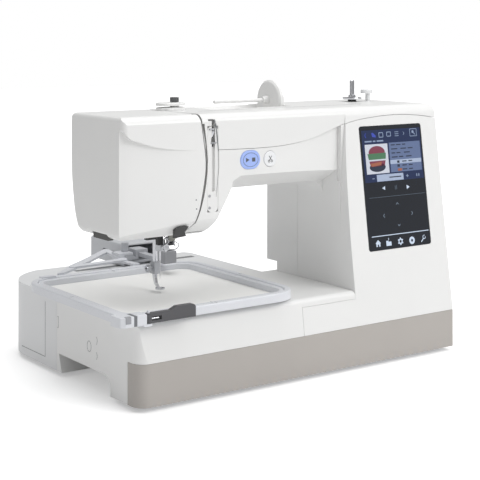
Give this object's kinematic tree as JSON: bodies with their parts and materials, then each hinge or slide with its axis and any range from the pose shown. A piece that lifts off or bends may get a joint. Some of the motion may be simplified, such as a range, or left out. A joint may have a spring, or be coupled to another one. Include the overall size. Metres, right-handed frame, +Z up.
{
  "type": "embroidery machine",
  "caption": "Free-arm embroidery machine with leaning touch-screen column, stitching head and a rear unit that moves a square hoop in two directions.",
  "frame": {"origin": "centre of the machine's overall footprint, on the table", "axes": "+Z up, +Y towards the back, +X towards the screen and hand wheel end"},
  "size_m": [0.468, 0.371, 0.3185],
  "materials": {
    "band_plastic": "satin taupe moulded plastic",
    "belt_rubber": "reinforced rubber belt",
    "black_plastic": "black plastic",
    "button_blue": "translucent lit button",
    "button_white": "gloss button",
    "cast": "cast and machined frame",
    "chrome": "bright plated",
    "clear_plastic": "clear moulded cover",
    "dark_plastic": "dark grey plastic",
    "fabric": "plain woven cotton",
    "foot_rubber": "moulded rubber",
    "glass_black": "printed touch glass",
    "grey_plastic": "light grey moulded plastic",
    "hoop_plastic": "satin cool grey plastic",
    "lcd": "display module",
    "motor_black": "painted motor can",
    "steel": "ground steel",
    "strip_metal": "satin metal strip",
    "white_plastic": "satin gloss moulded plastic"
  },
  "bodies": {
    "frame": {"front_band": "band_plastic", "bed_cover": "white_plastic", "unit_cover": "white_plastic", "face_cover": "white_plastic", "top_cover": "white_plastic", "front_cover": "white_plastic", "rear_cover": "white_plastic", "thread_guide_strip": "strip_metal", "base_tray": "grey_plastic", "rubber_feet": "foot_rubber", "touch_glass": "glass_black", "lcd_module": "lcd", "main_frame": "cast", "timing_belt": "belt_rubber", "needle_plate": "chrome", "main_motor": "motor_black", "drive_belt": "belt_rubber", "pretension_guide": "white_plastic", "x_guide_rods": "steel", "x_step_motor": "motor_black", "bobbin_case": "black_plastic", "bobbin": "clear_plastic"},
    "start_button": {"start_stop_button": "button_blue"},
    "cut_button": {"thread_cut_button": "button_white"},
    "power_rocker": {"power_switch": "black_plastic"},
    "main_shaft": {"upper_shaft": "steel", "crank_disc": "steel", "hand_wheel": "white_plastic", "upper_belt_pulley": "strip_metal", "drive_pulley": "black_plastic"},
    "link": {"connecting_link": "steel"},
    "low_shaft": {"lower_shaft": "steel", "lower_belt_pulley": "strip_metal", "shaft_gear": "steel"},
    "hook": {"rotary_hook": "chrome", "hook_gear": "steel"},
    "motor_rotor": {"motor_pulley": "steel"},
    "needle_group": {"needle_bar": "chrome", "needle_clamp": "steel", "needle": "chrome"},
    "presser_group": {"presser_bar": "chrome", "foot_holder": "strip_metal", "embroidery_foot": "chrome"},
    "threader": {"needle_threader": "dark_plastic"},
    "take_up": {"take_up_lever": "chrome"},
    "spool_holder": {"spool_pin": "grey_plastic"},
    "spool_cap": {"spool_disc": "white_plastic"},
    "winder": {"winder_spindle": "chrome"},
    "winder_stop": {"winder_stopper": "white_plastic"},
    "tension_knob": {"pretension_knob": "chrome"},
    "hook_lid": {"hook_cover": "clear_plastic"},
    "x_carriage": {"x_slider": "grey_plastic", "arm_end_block": "dark_plastic", "y_arm_housing": "grey_plastic"},
    "y_carriage": {"hoop_carriage": "grey_plastic", "hoop_bracket": "hoop_plastic", "outer_hoop": "hoop_plastic", "inner_hoop": "hoop_plastic", "hooped_fabric": "fabric"},
    "hoop_latch": {"hoop_lever": "dark_plastic"}
  },
  "joints": [
    {"name": "main_shaft_spin", "type": "hinge", "parent": "frame", "child": "main_shaft", "pos_m": [0.036, -0.0695, 0.25], "axis": [1, 0, 0], "continuous": true},
    {"name": "link_pivot", "type": "hinge", "parent": "main_shaft", "child": "link", "pos_m": [-0.117, -0.0695, 0.265], "axis": [1, 0, 0], "continuous": true},
    {"name": "low_shaft_spin", "type": "hinge", "parent": "frame", "child": "low_shaft", "pos_m": [0.036, -0.0695, 0.044], "axis": [1, 0, 0], "continuous": true},
    {"name": "hook_spin", "type": "hinge", "parent": "frame", "child": "hook", "pos_m": [-0.124, -0.0935, 0.05], "axis": [0, 0, 1], "continuous": true},
    {"name": "motor_spin", "type": "hinge", "parent": "frame", "child": "motor_rotor", "pos_m": [0.186, -0.0865, 0.15], "axis": [1, 0, 0], "continuous": true},
    {"name": "needle_bar_slide", "type": "slide", "parent": "frame", "child": "needle_group", "axis": [0, 0, 1], "range_m": [-0.03, 0], "deforming": ["hooped_fabric"]},
    {"name": "presser_lift", "type": "slide", "parent": "frame", "child": "presser_group", "axis": [0, 0, 1], "range_m": [-0.003, 0.004]},
    {"name": "threader_slide", "type": "slide", "parent": "frame", "child": "threader", "axis": [0, 0, 1], "range_m": [-0.022, 0]},
    {"name": "take_up_swing", "type": "hinge", "parent": "frame", "child": "take_up", "pos_m": [-0.104, -0.0905, 0.256], "axis": [1, 0, 0], "range_deg": [0, 45]},
    {"name": "start_press", "type": "slide", "parent": "frame", "child": "start_button", "axis": [0, 1, 0], "range_m": [0, 0.0015]},
    {"name": "cut_press", "type": "slide", "parent": "frame", "child": "cut_button", "axis": [0, 1, 0], "range_m": [0, 0.0015]},
    {"name": "power_rock", "type": "hinge", "parent": "frame", "child": "power_rocker", "pos_m": [0.2115, -0.0425, 0.06], "axis": [0, 1, 0], "range_deg": [-6, 6]},
    {"name": "spool_pin_lift", "type": "hinge", "parent": "frame", "child": "spool_holder", "pos_m": [0.0435, -0.0585, 0.2955], "axis": [0, 1, 0], "range_deg": [0, 30]},
    {"name": "spool_cap_slide", "type": "slide", "parent": "spool_holder", "child": "spool_cap", "axis": [-1, 0, 0], "range_m": [0, 0.06]},
    {"name": "winder_spin", "type": "hinge", "parent": "frame", "child": "winder", "pos_m": [0.1615, -0.0565, 0.3], "axis": [0, 0, 1], "continuous": true},
    {"name": "winder_stop_turn", "type": "hinge", "parent": "frame", "child": "winder_stop", "pos_m": [0.187, -0.0565, 0.298], "axis": [0, 0, 1], "range_deg": [0, 90]},
    {"name": "tension_knob_turn", "type": "hinge", "parent": "frame", "child": "tension_knob", "pos_m": [-0.103, -0.0655, 0.3], "axis": [0, 0, 1], "range_deg": [-180, 180]},
    {"name": "hook_lid_lift", "type": "slide", "parent": "frame", "child": "hook_lid", "axis": [0, 0, 1], "range_m": [0, 0.003]},
    {"name": "x_travel", "type": "slide", "parent": "frame", "child": "x_carriage", "axis": [1, 0, 0], "range_m": [-0.07, 0.07]},
    {"name": "y_travel", "type": "slide", "parent": "x_carriage", "child": "y_carriage", "axis": [0, 1, 0], "range_m": [-0.048, 0.052]},
    {"name": "hoop_latch_turn", "type": "hinge", "parent": "y_carriage", "child": "hoop_latch", "pos_m": [-0.2078, -0.1825, 0.097], "axis": [0, 0, 1], "range_deg": [-90, 0]}
  ],
  "couplings": [
    {"joint": "link_pivot", "follows": "main_shaft_spin", "ratio": -1},
    {"joint": "low_shaft_spin", "follows": "main_shaft_spin", "ratio": 1},
    {"joint": "hook_spin", "follows": "main_shaft_spin", "ratio": 2},
    {"joint": "motor_spin", "follows": "main_shaft_spin", "ratio": 3}
  ]
}
